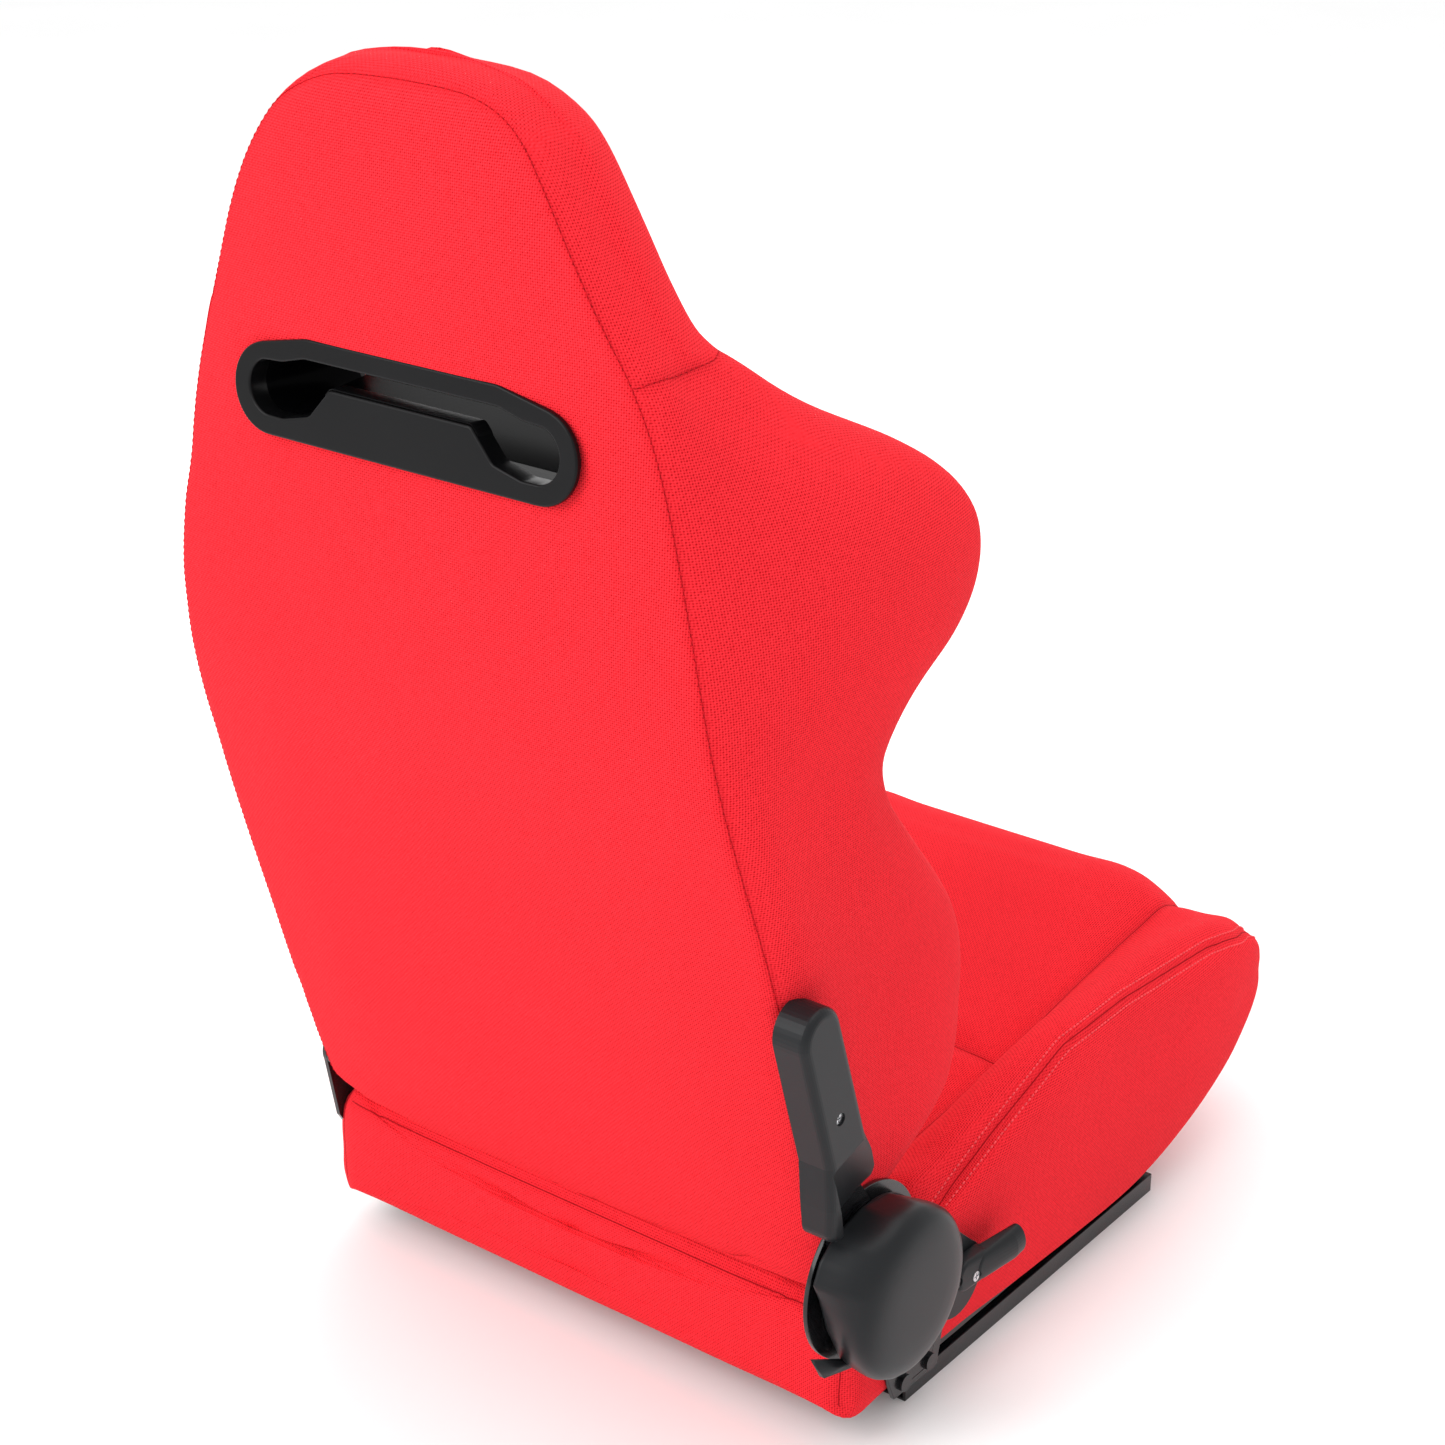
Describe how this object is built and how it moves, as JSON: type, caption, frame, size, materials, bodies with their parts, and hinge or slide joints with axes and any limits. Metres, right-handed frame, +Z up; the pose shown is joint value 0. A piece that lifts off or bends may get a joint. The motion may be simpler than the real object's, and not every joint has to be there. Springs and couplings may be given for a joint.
{
  "type": "racing seat",
  "caption": "Reclining bucket seat with deep side bolsters, harness slot in the backrest, plastic recliner covers, release lever and sliding floor rails.",
  "frame": {"origin": "centre of the four floor bolt holes, on the floor face of the lower rails", "axes": "+Z up, -Y towards the front of the seat, +X to the left of a person sitting in it"},
  "size_m": [0.563, 0.7548, 0.962],
  "materials": {
    "red_fabric": "matte twill",
    "black_plastic": "satin grained",
    "tunnel_plastic": "gloss",
    "black_steel": "gloss black",
    "zinc_steel": "zinc plated",
    "nylon": "natural"
  },
  "bodies": {
    "rails": {"lower_rail_l": "black_steel", "lower_rail_r": "black_steel"},
    "ball_cages": {"ball_cage_l": "nylon", "ball_cage_r": "nylon", "rail_balls": "zinc_steel"},
    "slide_handle": {"slide_handle": "black_steel", "latch_plates": "zinc_steel"},
    "release_lever": {"release_pin": "black_steel", "release_cam": "zinc_steel", "lever_arm": "black_steel", "lever_grip": "black_plastic", "lever_screw": "zinc_steel"},
    "pawl": {"pawl": "zinc_steel"},
    "backrest": {"recliner_arm": "black_steel", "hinge_arm": "black_steel", "arm_bolts": "zinc_steel", "arm_cover": "black_plastic", "cover_screw": "zinc_steel", "back_tube_l": "black_steel", "back_tube_r": "black_steel", "back_crossbars": "black_steel", "back_springs": "zinc_steel", "back_pad": "red_fabric", "back_bolster_l": "red_fabric", "back_bolster_r": "red_fabric", "head_pad": "red_fabric", "belt_tunnel": "tunnel_plastic", "rear_bezel": "black_plastic", "front_bezel": "black_plastic"},
    "seat_base": {"upper_rail_l": "black_steel", "upper_rail_r": "black_steel", "base_member_l": "black_steel", "base_member_r": "black_steel", "front_cross_tube": "black_steel", "rear_cross_tube": "black_steel", "rail_bolts": "zinc_steel", "seat_springs": "zinc_steel", "seat_pad": "red_fabric", "thigh_bolster_l": "red_fabric", "thigh_bolster_r": "red_fabric", "recliner_plate": "black_steel", "hinge_bracket": "black_steel", "plate_bolts": "black_steel", "hinge_pins": "zinc_steel", "return_spring": "zinc_steel", "inner_cover": "black_plastic", "round_cover": "black_plastic", "handle_pins": "zinc_steel", "handle_springs": "zinc_steel", "pawl_pin": "zinc_steel"}
  },
  "joints": [
    {"name": "seat_slide", "type": "slide", "parent": "rails", "child": "seat_base", "axis": [0, 1, 0], "range_m": [-0.09, 0.09]},
    {"name": "ball_cage_slide", "type": "slide", "parent": "rails", "child": "ball_cages", "axis": [0, 1, 0], "range_m": [-0.045, 0.045]},
    {"name": "slide_handle_lift", "type": "hinge", "parent": "seat_base", "child": "slide_handle", "pos_m": [0, -0.1, 0.0205], "axis": [-1, 0, 0], "range_deg": [0, 8], "stiffness_Nm_per_rad": 6, "springref_deg": -14.32},
    {"name": "release_lever_pull", "type": "hinge", "parent": "seat_base", "child": "release_lever", "pos_m": [-0.2605, 0.159, 0.105], "axis": [-1, 0, 0], "range_deg": [0, 25], "stiffness_Nm_per_rad": 0.6, "springref_deg": -22.92},
    {"name": "pawl_release", "type": "hinge", "parent": "seat_base", "child": "pawl", "pos_m": [-0.255, 0.22326, 0.10875], "axis": [1, 0, 0], "range_deg": [0, 12]},
    {"name": "backrest_recline", "type": "hinge", "parent": "seat_base", "child": "backrest", "pos_m": [0, 0.252, 0.16], "axis": [-1, 0, 0], "range_deg": [-20, 65]}
  ],
  "couplings": [
    {"joint": "ball_cage_slide", "follows": "seat_slide", "ratio": 0.5},
    {"joint": "pawl_release", "follows": "release_lever_pull", "ratio": 0.45}
  ]
}
